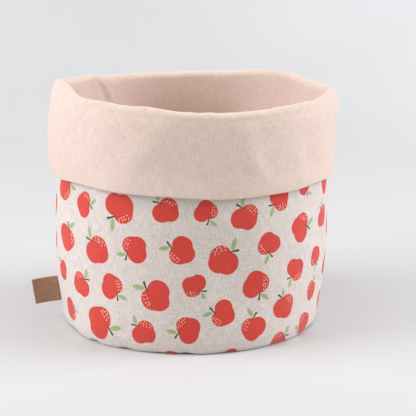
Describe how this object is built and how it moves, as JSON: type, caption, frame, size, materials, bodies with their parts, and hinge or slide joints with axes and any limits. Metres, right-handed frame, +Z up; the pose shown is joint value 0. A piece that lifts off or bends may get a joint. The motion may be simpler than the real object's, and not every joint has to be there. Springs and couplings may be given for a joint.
{
  "type": "linen bread bag",
  "caption": "Round standing linen bag for bread, printed outside, with its plain lining turned down over the rim as a deep cuff and a small bare side label.",
  "frame": {"origin": "middle of the underside, on the surface that the bag stands on", "axes": "+Z up out of the open top, -Y the front, +X the right side, with the label on the left side at -X"},
  "size_m": [0.269, 0.2504, 0.2173],
  "materials": {
    "printed_linen": "matte plain-weave linen with a tossed print of red apples",
    "plain_linen": "matte plain-weave linen, undyed warm beige with fine slubs",
    "label_board": "matte brown washable label stock, bare"
  },
  "bodies": {
    "root": {"outer_wall": "printed_linen", "outer_base": "printed_linen", "lining_wall": "plain_linen", "lining_base": "plain_linen", "label": "label_board"}
  },
  "joints": []
}
